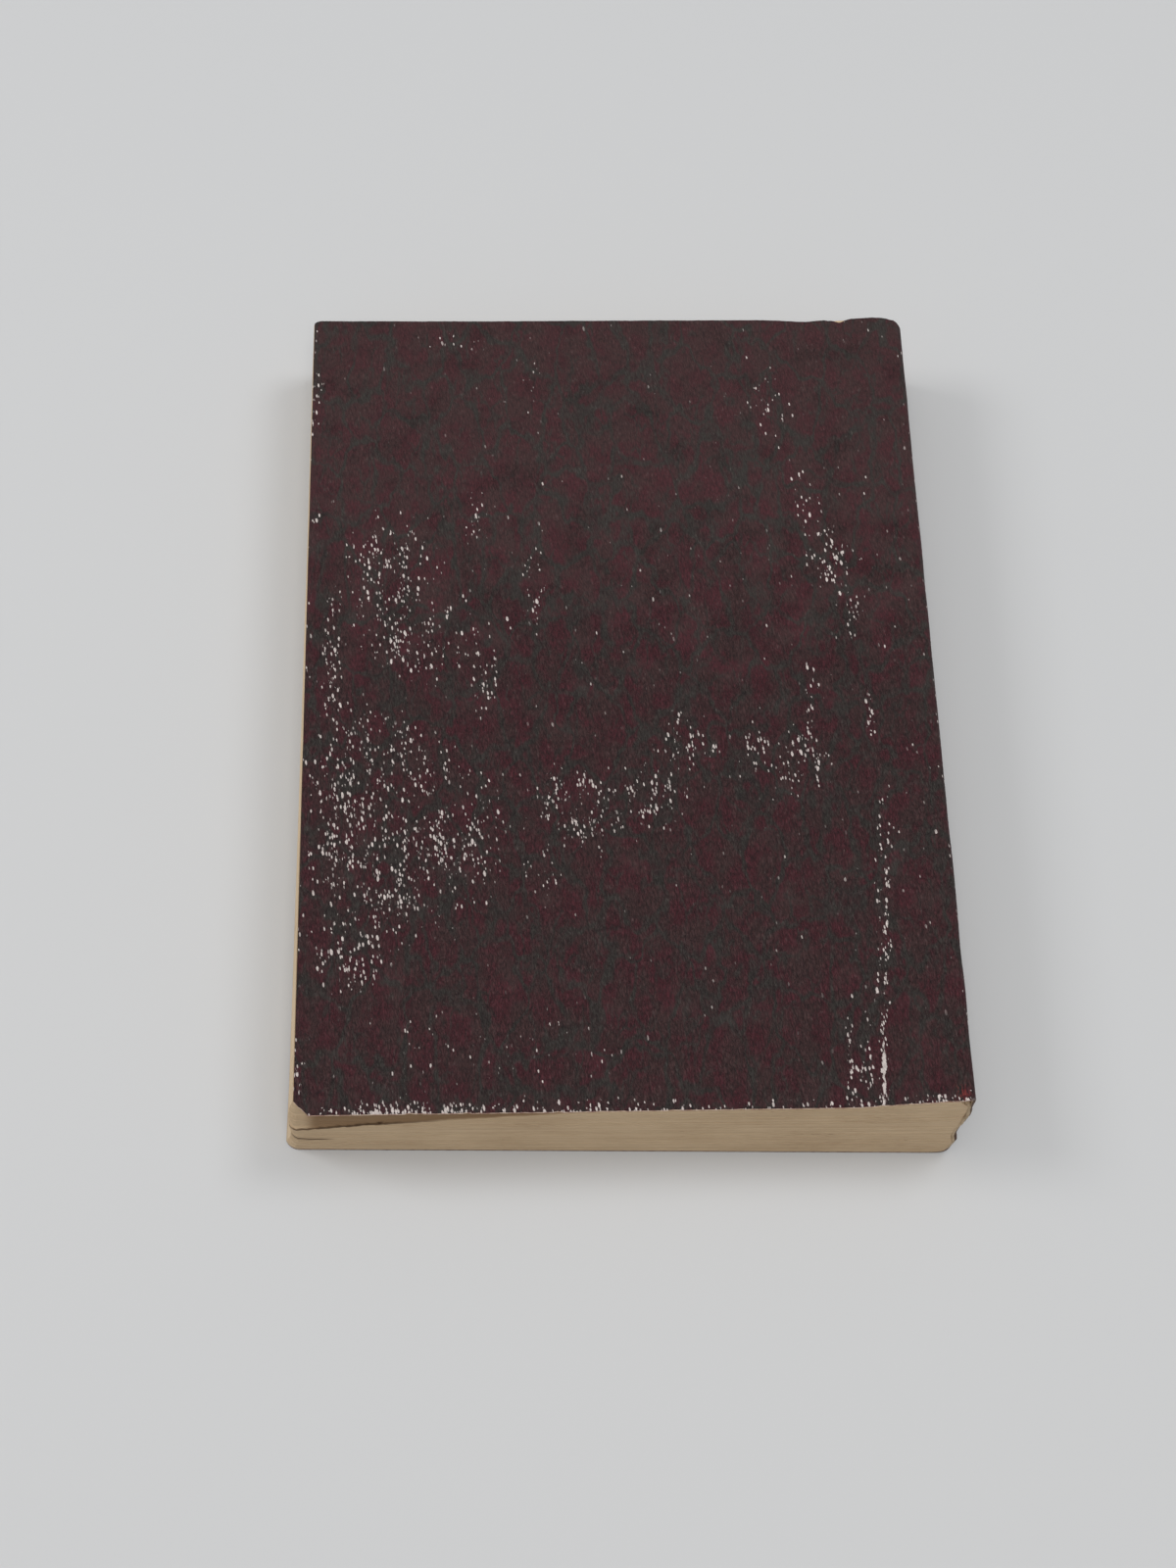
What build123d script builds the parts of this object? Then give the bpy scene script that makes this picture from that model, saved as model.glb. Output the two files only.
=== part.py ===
from build123d import *
import os
from math import cos, degrees, hypot, pi, radians, sin, tan

# A small softcover book, closed, lying on its front cover with its back cover up.
# One cover sheet is glued round the back of a trimmed page block and cut flush with it.
# The stack has racked: every leaf is slid and turned a little further than the one below.
# X runs from the fore-edge to the spine, Y from the tail to the head, Z up, in millimetres.

# Leaves
leaf_width = 105.0
leaf_length = 149.0
block_thickness = 14.1
head_out_of_square = 0.8

# Cover sheet, and the adhesive on the back of the block
cover_thickness = 0.4
adhesive_thickness = 0.5
back_fold_radius = 1.2
front_fold_radius = 2.0

# Opening creases, and how the back swells from the crease to the spine fold
crease_from_spine = 13.0
crease_gap = 0.1
riser_width = 5.0
riser_height = 0.6
swell_height = 1.7

# Racking of the top of the stack against its bottom, and the bow of the edges between
rack_turn = 1.2
rack_slide_x = 0.6
rack_slide_y = 1.6
edge_bow = 0.45
outline_count = 5

# Worn corners: radius at the bottom and at the top of the stack
head_spine_wear = (0.8, 3.4)
head_fore_wear = (0.8, 1.0)
tail_fore_wear = (2.0, 0.9)
tail_spine_wear = (0.8, 0.8)

# Chipped corner and nicked head edge of the back cover
chip_along_tail = 2.6
chip_along_fore = 2.2
nick_from_spine = 10.9
nick_width = 3.2
nick_depth = 0.7

# Upper leaves that stand back from the tail, most at the fore-edge
recess_height = 7.0
recess_depth = 2.5
recess_length = 56.0

# Gap between the back fold and the block at the tail, where the sheet has come loose
loose_fold_width = 3.0
loose_fold_height = 1.6
loose_fold_length = 9.0

# How far the cutting shapes run past the book, how much wider than its radius a worn corner
# is cut, and how far a fold's rounding runs past the flat that it meets: both then cross at
# an angle
overrun = 20.0
corner_cut_factor = 1.08
fold_overlap = 0.01

stack_height = block_thickness + 2 * cover_thickness
mid_height = stack_height / 2
loft_height = stack_height + 2 * swell_height
room_height = stack_height - cover_thickness
half_width = leaf_width / 2
half_length = leaf_length / 2
crease_x = half_width - crease_from_spine
swell_slope = (swell_height - riser_height) / crease_from_spine


def rack_at(height):
    """Slide along X and Y, and turn about Z in radians, of the leaf at a height."""
    share = height / stack_height
    slide_x = rack_slide_x * share + edge_bow * sin(2 * pi * share)
    return slide_x, rack_slide_y * share, radians(rack_turn) * share


def racked(height):
    """Place of the leaf at a height."""
    slide_x, slide_y, turn = rack_at(height)
    return Pos(slide_x, slide_y, height) * Rot(0, 0, degrees(turn))


def back_cover_frame():
    """Place of the back cover's own axes, on the plane that the book lies on."""
    return Pos(rack_slide_x, rack_slide_y, 0) * Rot(0, 0, rack_turn)


def racked_loft(outline_at):
    """Loft of the outlines that outline_at gives for a share of the height, each racked."""
    shares = [number / (outline_count - 1) for number in range(outline_count)]
    return loft([racked(loft_height * share) * outline_at(share) for share in shares])


def spine_x(height, y, inset):
    """Where a line inset from the spine edge of the leaf at a height crosses a value of Y."""
    slide_x, slide_y, turn = rack_at(height)
    return slide_x + (half_width - inset) / cos(turn) - tan(turn) * (y - slide_y)


def wall_section(y, inset):
    """Section of the room behind the spine wall at a value of Y, between two flat ends."""
    heights = [0, stack_height / 4, mid_height, 3 * stack_height / 4, stack_height]
    points = [(spine_x(height, y, inset), height) for height in heights]
    top = (spine_x(stack_height, y, inset), loft_height)
    foot = (points[0][0], -overrun)
    outline = [
        Line(foot, points[0]),
        ThreePointArc(points[0], points[1], points[2]),
        ThreePointArc(points[2], points[3], points[4]),
        Line(points[4], top),
        Line(top, (-half_width - overrun, loft_height)),
        Line((-half_width - overrun, loft_height), (-half_width - overrun, -overrun)),
        Line((-half_width - overrun, -overrun), foot),
    ]
    return Plane.XZ.offset(-y) * make_face(outline)


def fold_cutter(height, side, inset, radius):
    """Cutter that rounds a spine fold about an axis at a height; side is 1 for the back fold."""
    reach = radius + overrun
    corner = Pos(reach / 2, 0, side * reach / 2) * Box(reach, 2 * leaf_length, reach)
    rounding = Rot(90, 0, 0) * Cylinder(radius + fold_overlap, 2 * leaf_length)
    return racked(height) * Pos(half_width - inset - radius, 0, 0) * (corner - rounding)


def trimmed_sides():
    """Loft that ends at the head, tail and fore-edge and runs past the spine."""
    outline = Polygon(
        (-half_width, -half_length),
        (half_width + overrun, -half_length),
        (half_width + overrun, half_length - head_out_of_square),
        (half_width, half_length - head_out_of_square),
        (-half_width, half_length),
        align=None,
    )
    return racked_loft(lambda share: outline)


def worn_corner(x, y, wear):
    """Cutter that rounds one upright corner, with the radius wear at its bottom and top."""
    bottom_radius, top_radius = wear
    out_x = 1 if x > 0 else -1
    out_y = 1 if y > 0 else -1

    def outline_at(share):
        radius = bottom_radius + (top_radius - bottom_radius) * share
        side = radius + overrun / 4
        corner = Pos(out_x * side / 2, out_y * side / 2) * Rectangle(side, side)
        return Pos(x - out_x * radius, y - out_y * radius) * (corner - Circle(corner_cut_factor * radius))

    return racked_loft(outline_at)


def room_under_back(drop):
    """Room between the floor and the back's outer surface, both moved inwards by drop."""
    profile = Polygon(
        (-half_width - 2 * overrun, drop),
        (half_width + 2 * overrun, drop),
        (half_width + 2 * overrun, stack_height + swell_height + swell_slope * 2 * overrun - drop),
        (crease_x, stack_height + riser_height - drop),
        (crease_x - riser_width, stack_height - drop),
        (-half_width - 2 * overrun, stack_height - drop),
        align=None,
    )
    return back_cover_frame() * extrude(Plane.XZ * profile, amount=leaf_length, both=True)


def inside_cover(inset, drop):
    """Room inside the folded sheet, inset at the spine and dropped at both covers."""
    front_radius = front_fold_radius - inset
    back_radius = back_fold_radius - inset
    ends = [wall_section(y, inset) for y in (-half_length - overrun, half_length + overrun)]
    room = loft(ends, ruled=True) & room_under_back(drop)
    room = room - fold_cutter(drop + front_radius, -1, inset, front_radius)
    fold_height = stack_height + swell_height - drop - swell_slope * (inset + back_radius)
    axis_height = fold_height - back_radius * hypot(1, swell_slope)
    return room - fold_cutter(axis_height, 1, inset, back_radius)


def cutting_box(frame, low_x, high_x, low_z, high_z):
    """Box between two X and two Z values of a frame, longer than the book."""
    box = Box(high_x - low_x, leaf_length + 2 * overrun, high_z - low_z)
    return frame * Pos((low_x + high_x) / 2, 0, (low_z + high_z) / 2) * box


def back_chip():
    """Cutter for the corner that has broken off the back cover."""
    corner = Polygon(
        (-half_width - overrun, -half_length - overrun),
        (-half_width + chip_along_tail + overrun, -half_length - overrun),
        (-half_width + chip_along_tail, -half_length),
        (-half_width, -half_length + chip_along_fore),
        (-half_width - overrun, -half_length + chip_along_fore),
        align=None,
    )
    return back_cover_frame() * Pos(0, 0, mid_height) * extrude(corner, amount=stack_height)


def back_nick():
    """Cutter for the nick in the head edge of the back cover."""
    nick_x = half_width - nick_from_spine
    head_y = half_length - head_out_of_square * (nick_x + half_width) / leaf_width
    nick = Polygon(
        (nick_x - nick_width / 2, head_y),
        (nick_x - nick_width / 4, head_y - nick_depth),
        (nick_x + nick_width / 4, head_y - nick_depth / 2),
        (nick_x + nick_width / 2, head_y),
        (nick_x + nick_width / 2, head_y + overrun),
        (nick_x - nick_width / 2, head_y + overrun),
        align=None,
    )
    return back_cover_frame() * Pos(0, 0, mid_height) * extrude(nick, amount=stack_height)


def leaf_recess():
    """Cutter for the upper leaves that stand back from the tail, tapering to nothing."""
    end_x = -half_width + recess_length
    start_x = -half_width - overrun
    stretch = (recess_length + overrun) / recess_length
    plan = Polygon(
        (end_x, -half_length - overrun),
        (end_x, -half_length),
        (start_x, -half_length + recess_depth * stretch),
        (start_x, -half_length - overrun),
        align=None,
    )
    side = Polygon(
        (end_x, room_height),
        (end_x, room_height + overrun),
        (start_x, room_height + overrun),
        (start_x, room_height - recess_height * stretch),
        align=None,
    )
    depth = extrude(plan, amount=loft_height + overrun)
    height = extrude(Plane.XZ * side, amount=leaf_length, both=True)
    return back_cover_frame() * (depth & height)


def loose_fold():
    """Cutter for the gap between the back fold and the block at the tail."""
    fold_height = room_height + swell_height
    fall = loose_fold_height / loose_fold_width
    gap = Polygon(
        (half_width - loose_fold_width, fold_height),
        (half_width + overrun, fold_height - fall * (overrun + loose_fold_width)),
        (half_width + overrun, fold_height + overrun),
        (half_width - loose_fold_width, fold_height + overrun),
        align=None,
    )
    mouth = extrude(Plane.XZ * gap, amount=leaf_length, both=True)
    taper = Polygon(
        (half_width - loose_fold_width, -half_length - overrun),
        (half_width + overrun, -half_length - overrun),
        (half_width + overrun, -half_length + loose_fold_length * (1 + overrun / loose_fold_width)),
        (half_width - loose_fold_width, -half_length),
        align=None,
    )
    return back_cover_frame() * (mouth & extrude(taper, amount=loft_height + overrun))


def trimmed_stack():
    """Everything inside the cover's outer faces, trimmed on three sides and worn."""
    stack = inside_cover(0.0, 0.0) & trimmed_sides()
    head_spine_y = half_length - head_out_of_square
    stack = stack - worn_corner(half_width, head_spine_y, head_spine_wear)
    stack = stack - worn_corner(-half_width, half_length, head_fore_wear)
    stack = stack - worn_corner(-half_width, -half_length, tail_fore_wear)
    return stack - worn_corner(half_width, -half_length, tail_spine_wear)


def cover_pieces(sheet):
    """Back panel, front panel and spine of the cover sheet, parted at the two creases."""
    edge_x = -half_width - overrun
    top_z = loft_height + overrun
    back_panel = cutting_box(back_cover_frame(), edge_x, crease_x - crease_gap / 2, mid_height, top_z)
    back_side = cutting_box(back_cover_frame(), edge_x, crease_x + crease_gap / 2, mid_height, top_z)
    front_panel = cutting_box(Pos(), edge_x, crease_x - crease_gap / 2, -overrun, mid_height)
    front_side = cutting_box(Pos(), edge_x, crease_x + crease_gap / 2, -overrun, mid_height)
    back = (sheet & back_panel) - back_chip() - back_nick()
    return back, sheet & front_panel, sheet - back_side - front_side


def book_pieces():
    """Every piece of the book by name, still in the frame of its lowest leaf."""
    stack = trimmed_stack()
    room = inside_cover(cover_thickness, cover_thickness)
    leaf_room = inside_cover(cover_thickness + adhesive_thickness, cover_thickness)
    back, front, spine = cover_pieces(stack - room)
    filled = (stack & room) - loose_fold()
    return {
        "page_block": (filled & leaf_room) - leaf_recess(),
        "spine_adhesive": filled - leaf_room,
        "back_cover": back,
        "front_cover": front,
        "cover_spine": spine,
    }


def main():
    """Write each piece, with the origin under the middle of the whole book."""
    os.makedirs("parts", exist_ok=True)
    pieces = book_pieces()
    bounds = Compound(list(pieces.values())).bounding_box()
    to_origin = Pos(-bounds.center().X, -bounds.center().Y, -bounds.min.Z)
    for name, piece in pieces.items():
        export_step(to_origin * piece, "parts/" + name + ".step")
    back_hinge = to_origin * back_cover_frame() * Pos(crease_x, 0, stack_height + riser_height)
    front_hinge = to_origin * Pos(crease_x, 0, 0)
    print("size", bounds.size)
    print("back hinge", back_hinge)
    print("front hinge", front_hinge)


main()
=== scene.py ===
"""A small softcover book that lies closed on its front cover, with its back cover up."""

import logging
import math
from dataclasses import dataclass
from enum import Enum
from functools import cached_property
from typing import Optional, Sequence, Union

import bmesh
import bpy
from mathutils import Matrix, Vector, noise


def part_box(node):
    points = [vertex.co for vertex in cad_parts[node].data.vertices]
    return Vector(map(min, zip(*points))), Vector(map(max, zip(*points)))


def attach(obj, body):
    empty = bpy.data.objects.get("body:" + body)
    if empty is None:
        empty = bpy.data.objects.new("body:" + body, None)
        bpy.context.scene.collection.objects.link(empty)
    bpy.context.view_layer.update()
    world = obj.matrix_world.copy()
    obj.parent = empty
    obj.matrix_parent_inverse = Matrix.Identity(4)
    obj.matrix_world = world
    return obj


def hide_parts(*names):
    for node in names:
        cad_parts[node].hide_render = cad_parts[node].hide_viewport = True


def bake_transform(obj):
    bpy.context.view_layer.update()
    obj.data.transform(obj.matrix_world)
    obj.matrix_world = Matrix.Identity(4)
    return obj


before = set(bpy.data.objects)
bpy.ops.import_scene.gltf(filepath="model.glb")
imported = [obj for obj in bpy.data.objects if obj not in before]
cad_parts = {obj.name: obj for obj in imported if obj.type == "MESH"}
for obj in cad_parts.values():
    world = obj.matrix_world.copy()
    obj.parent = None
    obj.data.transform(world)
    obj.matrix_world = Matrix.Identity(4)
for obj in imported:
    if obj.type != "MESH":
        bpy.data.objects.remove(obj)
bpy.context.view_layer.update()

log = logging.getLogger("book")
MM = 0.001

# Painted on leaves away from the gap: far below it, far from the fore-edge, and not on it.
UNPAINTED = (-9.0, 99.0, 0.0)


class Slot(Enum):
    """Material slots of the record."""

    COVER = "cover"
    PAPER = "paper"
    ADHESIVE = "adhesive"


class Side(Enum):
    """Sides of the leaf block."""

    TAIL = "tail"
    SPINE = "spine"
    HEAD = "head"
    FORE = "fore"


def smooth_step(low: float, high: float, value: float) -> float:
    """Smooth ramp.

    Args:
        low: value at which it leaves 0.
        high: value at which it reaches 1; it may be the smaller one.
        value: where it is read.

    Returns:
        Its height there.
    """
    share = min(max((value - low) / (high - low), 0.0), 1.0)
    return share * share * (3 - 2 * share)


def bump_at(value: float, centre: float, half_width: float) -> float:
    """Smooth hump of height 1 about a centre."""
    return math.exp(-(((value - centre) / half_width) ** 2))


def ripple(x: float, y: float = 0.0, z: float = 0.0) -> float:
    """Smooth noise from -1 to 1 at a place."""
    return noise.noise(Vector((x, y, z)))


def spread(spans: Sequence[tuple[float, int]]) -> list[float]:
    """Places along a sheet, close together in some spans and wide apart in others.

    Args:
        spans: length of each span, and its count of cells.

    Returns:
        The places, from 0.
    """
    places = [0.0]
    for length, cells in spans:
        start = places[-1]
        places.extend(start + length * (number + 1) / cells for number in range(cells))
    return places


def make_object(mesh: bmesh.types.BMesh, name: str, materials: list[bpy.types.Material]) -> bpy.types.Object:
    """Turns a finished mesh into an object of the scene.

    Args:
        mesh: the mesh, which is freed.
        name: name of the object and of its mesh.
        materials: its materials, in the order of the faces' numbers.

    Returns:
        The object.
    """
    data = bpy.data.meshes.new(name)
    mesh.to_mesh(data)
    mesh.free()
    for material in materials:
        data.materials.append(material)
    made = bpy.data.objects.new(name, data)
    bpy.context.scene.collection.objects.link(made)
    return made


@dataclass(frozen=True)
class Patch:
    """A worn patch of the back cover, in millimetres along the sheet.

    Args:
        across: centre, from the fore-edge towards the spine.
        along: centre, from the tail towards the head.
        half_across: half of its width.
        half_along: half of its length.
        strength: share of the grain that has flaked at its centre.
        lean: turn from the length of the book, in degrees.
    """

    across: float
    along: float
    half_across: float
    half_along: float
    strength: float
    lean: float = 0.0

    def at(self, across: float, along: float) -> float:
        """Strength of the patch, falling off to its rim.

        Args:
            across: place from the fore-edge towards the spine.
            along: place from the tail towards the head.

        Returns:
            Its strength there.
        """
        turn = math.radians(self.lean)
        side, up = across - self.across, along - self.along
        side, up = side * math.cos(turn) + up * math.sin(turn), up * math.cos(turn) - side * math.sin(turn)
        reach = math.hypot(side / self.half_across, up / self.half_along)
        return self.strength * smooth_step(1.25, 0.35, reach)


@dataclass(frozen=True)
class CornerWear:
    """Wear of one corner of the leaves, which changes evenly from the lowest leaf to the top one.

    Args:
        reach: how far it reaches across the lowest leaf and across the top one.
        depth: how far it reaches along them.
        cut_factor: how much wider than its reach the rounded corner is cut.
    """

    reach: tuple[float, float]
    depth: tuple[float, float]
    cut_factor: float = 1.08

    def cut(self, offset: float, share: float) -> float:
        """How far the worn corner has moved the edge inwards.

        Args:
            offset: distance across the leaf from the corner.
            share: share of the block's thickness.

        Returns:
            The distance inwards.
        """
        reach, depth = (low + (high - low) * share for low, high in (self.reach, self.depth))
        rounded = max(1 - abs(offset) / reach, 0.0) / self.cut_factor
        return depth * (1 - math.sqrt(1 - rounded * rounded))


@dataclass(frozen=True)
class BookForm:
    """Sizes of the racked book, in metres, as the frame has them.

    Args:
        leaf_width, leaf_length: size of a leaf before the head is out of square.
        head_out_of_square: how much shorter a leaf is at the spine.
        stack_height: thickness of the closed book away from the spine.
        cover_thickness, adhesive_thickness: thickness of the sheet and of the film.
        back_fold_radius, front_fold_radius: outer radii of the two folds.
        crease_from_spine: place of the opening creases.
        riser_width, riser_height: step up beside the crease.
        swell_height: rise of the stack at the spine.
        rack_turn, rack_slide: turn and slide of the top leaf over the lowest.
        edge_bow: bow of the block's edges between the two.
        head_rise: how much of the swell reaches over the whole leaf at the head.
        head_rise_clear: how far short of the crease that rise ends, and how far short it is whole.
        head_spine, head_fore, tail_spine, tail_fore: wear of the four corners.
        crumple_fade: distance over which the loose tail end of the spine comes to rest.
        bulges: height, level and half width of each of that end's bulges, in millimetres.
        loose_reach: length of the tail end where the back fold has come loose.
    """

    leaf_width: float = 105.0 * MM
    leaf_length: float = 149.0 * MM
    head_out_of_square: float = 0.8 * MM
    stack_height: float = 14.9 * MM
    cover_thickness: float = 0.4 * MM
    adhesive_thickness: float = 0.5 * MM
    back_fold_radius: float = 1.2 * MM
    front_fold_radius: float = 2.0 * MM
    crease_from_spine: float = 13.0 * MM
    riser_width: float = 5.0 * MM
    riser_height: float = 0.6 * MM
    swell_height: float = 1.7 * MM
    rack_turn: float = math.radians(1.2)
    rack_slide: tuple[float, float] = (0.6 * MM, 1.6 * MM)
    edge_bow: float = 0.45 * MM
    head_rise: float = 0.5
    head_rise_clear: tuple[float, float] = (1.0 * MM, 14.0 * MM)
    head_spine: CornerWear = CornerWear((0.8 * MM, 5.2 * MM), (0.8 * MM, 3.4 * MM))
    head_fore: CornerWear = CornerWear((1.2 * MM, 1.2 * MM), (0.8 * MM, 1.0 * MM))
    tail_spine: CornerWear = CornerWear((0.8 * MM, 0.8 * MM), (0.8 * MM, 0.8 * MM))
    tail_fore: CornerWear = CornerWear((2.2 * MM, 1.1 * MM), (2.2 * MM, 1.1 * MM))
    crumple_fade: float = 8.0 * MM
    bulges: tuple[tuple[float, float, float], ...] = (
        (0.95, 11.3, 2.4),
        (-0.45, 5.8, 2.0),
        (0.16, 9.2, 0.5),
        (0.14, 12.6, 0.5),
        (0.20, 3.6, 0.8),
        (-0.12, 10.3, 0.4),
    )
    loose_reach: float = 4.5 * MM

    @property
    def half_width(self) -> float:
        """Half of a leaf's width."""
        return self.leaf_width / 2

    @property
    def half_length(self) -> float:
        """Half of a leaf's length."""
        return self.leaf_length / 2

    @property
    def crease_x(self) -> float:
        """Place of the opening creases across the leaf."""
        return self.half_width - self.crease_from_spine

    @cached_property
    def origin(self) -> Vector:
        """Middle of the lowest leaf in the row frame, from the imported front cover."""
        low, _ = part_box("front_cover")
        return Vector((low.x + self.half_width, low.y + self.half_length, 0.0))

    def place(self, x: float, y: float, z: float) -> Vector:
        """Racked place of a point of the leaf at height z.

        Args:
            x: place across the leaf, from its middle to the spine.
            y: place along the leaf, from its middle to the head.
            z: height above the table.

        Returns:
            The point in the row frame.
        """
        share = z / self.stack_height
        turn = self.rack_turn * share
        bow = self.edge_bow * math.sin(2 * math.pi * min(share, 1.0))
        racked_x = self.rack_slide[0] * share + bow + x * math.cos(turn) - y * math.sin(turn)
        racked_y = self.rack_slide[1] * share + x * math.sin(turn) + y * math.cos(turn)
        return self.origin + Vector((racked_x, racked_y, z))

    def spine_spans(self, inset: float) -> list[float]:
        """Lengths of the parts of the section round the spine.

        Args:
            inset: depth below the outer face.

        Returns:
            Lengths of the back fold, of the wall and of the front fold.
        """
        back, front = self.back_fold_radius - inset, self.front_fold_radius - inset
        wall = self.top(self.half_width) - self.back_fold_radius - self.front_fold_radius
        return [back * math.pi / 2, wall, front * math.pi / 2]

    def spine_section(self, down: float, inset: float) -> tuple[float, float]:
        """Place across the leaf, and height, of a point on the way down the spine.

        Args:
            down: distance along the section from where the back fold starts.
            inset: depth below the outer face.

        Returns:
            The place across the leaf, and the height.
        """
        back, front = self.back_fold_radius - inset, self.front_fold_radius - inset
        first, wall, last = self.spine_spans(inset)
        x = self.half_width - inset
        high = self.top(self.half_width) - self.back_fold_radius
        if down <= first:
            turn = down / back
            return x - back + back * math.sin(turn), high + back * math.cos(turn)
        if down <= first + wall:
            return x, high - (down - first)
        turn = min((down - first - wall) / front, math.pi / 2)
        beyond = max(down - first - wall - last, 0.0)
        return x - front + front * math.cos(turn) - beyond, inset + front - front * math.sin(turn)

    def leaf_place(self, point: Vector) -> tuple[float, float]:
        """Place of a point of the top leaf on its own leaf.

        Args:
            point: the point in the row frame.

        Returns:
            Its place across the leaf and along it.
        """
        moved = point - self.origin - Vector((*self.rack_slide, 0.0))
        across = moved.x * math.cos(self.rack_turn) + moved.y * math.sin(self.rack_turn)
        return across, moved.y * math.cos(self.rack_turn) - moved.x * math.sin(self.rack_turn)

    def crumple(self, along: float, z: float) -> float:
        """How far the loose tail end of the spine stands out.

        Args:
            along: distance from the tail.
            z: height above the table.

        Returns:
            The distance outwards from the flat spine.
        """
        bulges = sum(size * bump_at(z / MM, level, half) for size, level, half in self.bulges)
        fade = math.exp(-max(along, 0.0) / self.crumple_fade)
        dents = 0.12 * ripple(along / MM * 0.12, z / MM * 0.35, 5.0)
        return (bulges * fade + dents) * smooth_step(0.6 * MM, 1.8 * MM, z) * MM

    def loosened(self, along: float) -> float:
        """How far the back fold has come loose, from 1 at the tail to 0."""
        return bump_at(along, 0.0, self.loose_reach)

    def top(self, x: float, y: float = 0.0) -> float:
        """Height of the back cover's outer face; towards the head it rises over more of the leaf.

        Args:
            x: place across the leaf, from its middle to the spine.
            y: place along the leaf, from its middle to the head.

        Returns:
            The height above the table.
        """
        riser = smooth_step(self.crease_x - self.riser_width, self.crease_x, x) * self.riser_height
        beyond = max(x - self.crease_x, 0.0) / self.crease_from_spine
        level = self.stack_height + riser + beyond * (self.swell_height - self.riser_height)
        even = self.swell_height * min(max(x / self.half_width + 0.7, 0.0) / 1.7, 1.0)
        at_head = self.head_rise * smooth_step(0.45 * self.half_length, self.half_length, y)
        at_head *= smooth_step(*(self.crease_x - clear for clear in self.head_rise_clear), x)
        return level + at_head * max(self.stack_height + even - level, 0.0)

    def head(self, x: float, z: float) -> float:
        """Head edge of a leaf, with its worn corners.

        Args:
            x: place across the leaf, from its middle to the spine.
            z: height above the table.

        Returns:
            Place of the edge along the leaf.
        """
        share = min(z / self.stack_height, 1.0)
        edge = self.half_length - self.head_out_of_square * (x + self.half_width) / self.leaf_width
        edge -= self.head_spine.cut(self.half_width - x, share)
        return edge - self.head_fore.cut(self.half_width + x, share)

    def tail(self, x: float, z: float) -> float:
        """Tail edge of a leaf, with its worn corners.

        Args:
            x: place across the leaf, from its middle to the spine.
            z: height above the table.

        Returns:
            Place of the edge along the leaf.
        """
        share = min(z / self.stack_height, 1.0)
        edge = -self.half_length + self.tail_spine.cut(self.half_width - x, share)
        return edge + self.tail_fore.cut(self.half_width + x, share)


Value = Union["Wire", float, tuple]


class Wire:
    """A shader socket that arithmetic adds Math nodes to."""

    def __init__(self, shader: "Shader", socket: bpy.types.NodeSocket) -> None:
        """Wraps a socket of a shader's node tree."""
        self.shader = shader
        self.socket = socket

    def _math(self, operation: str, *values: Value) -> "Wire":
        """Result of one Math node."""
        return self.shader.node("ShaderNodeMath", {"operation": operation}, dict(enumerate(values)))

    def __add__(self, other: Value) -> "Wire":
        """Sum of two values."""
        return self._math("ADD", self, other)

    __radd__ = __add__

    def __sub__(self, other: Value) -> "Wire":
        """Difference of two values."""
        return self._math("SUBTRACT", self, other)

    def __rsub__(self, other: Value) -> "Wire":
        """Difference of a number and this value."""
        return self._math("SUBTRACT", other, self)

    def __mul__(self, other: Value) -> "Wire":
        """Product of two values."""
        return self._math("MULTIPLY", self, other)

    __rmul__ = __mul__

    def size(self) -> "Wire":
        """This value without its sign."""
        return self._math("ABSOLUTE", self)

    def greater(self, other: Value) -> "Wire":
        """The larger of two values."""
        return self._math("MAXIMUM", self, other)

    def step(self, low: float, high: float) -> "Wire":
        """Smooth ramp of this value.

        Args:
            low: value at which it leaves 0.
            high: value at which it reaches 1; it may be the smaller one.

        Returns:
            The ramp's height.
        """
        if low > high:
            return 1 - self.step(high, low)
        settings = {"interpolation_type": "SMOOTHSTEP"}
        return self.shader.node("ShaderNodeMapRange", settings, {0: self, 1: low, 2: high})


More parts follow.
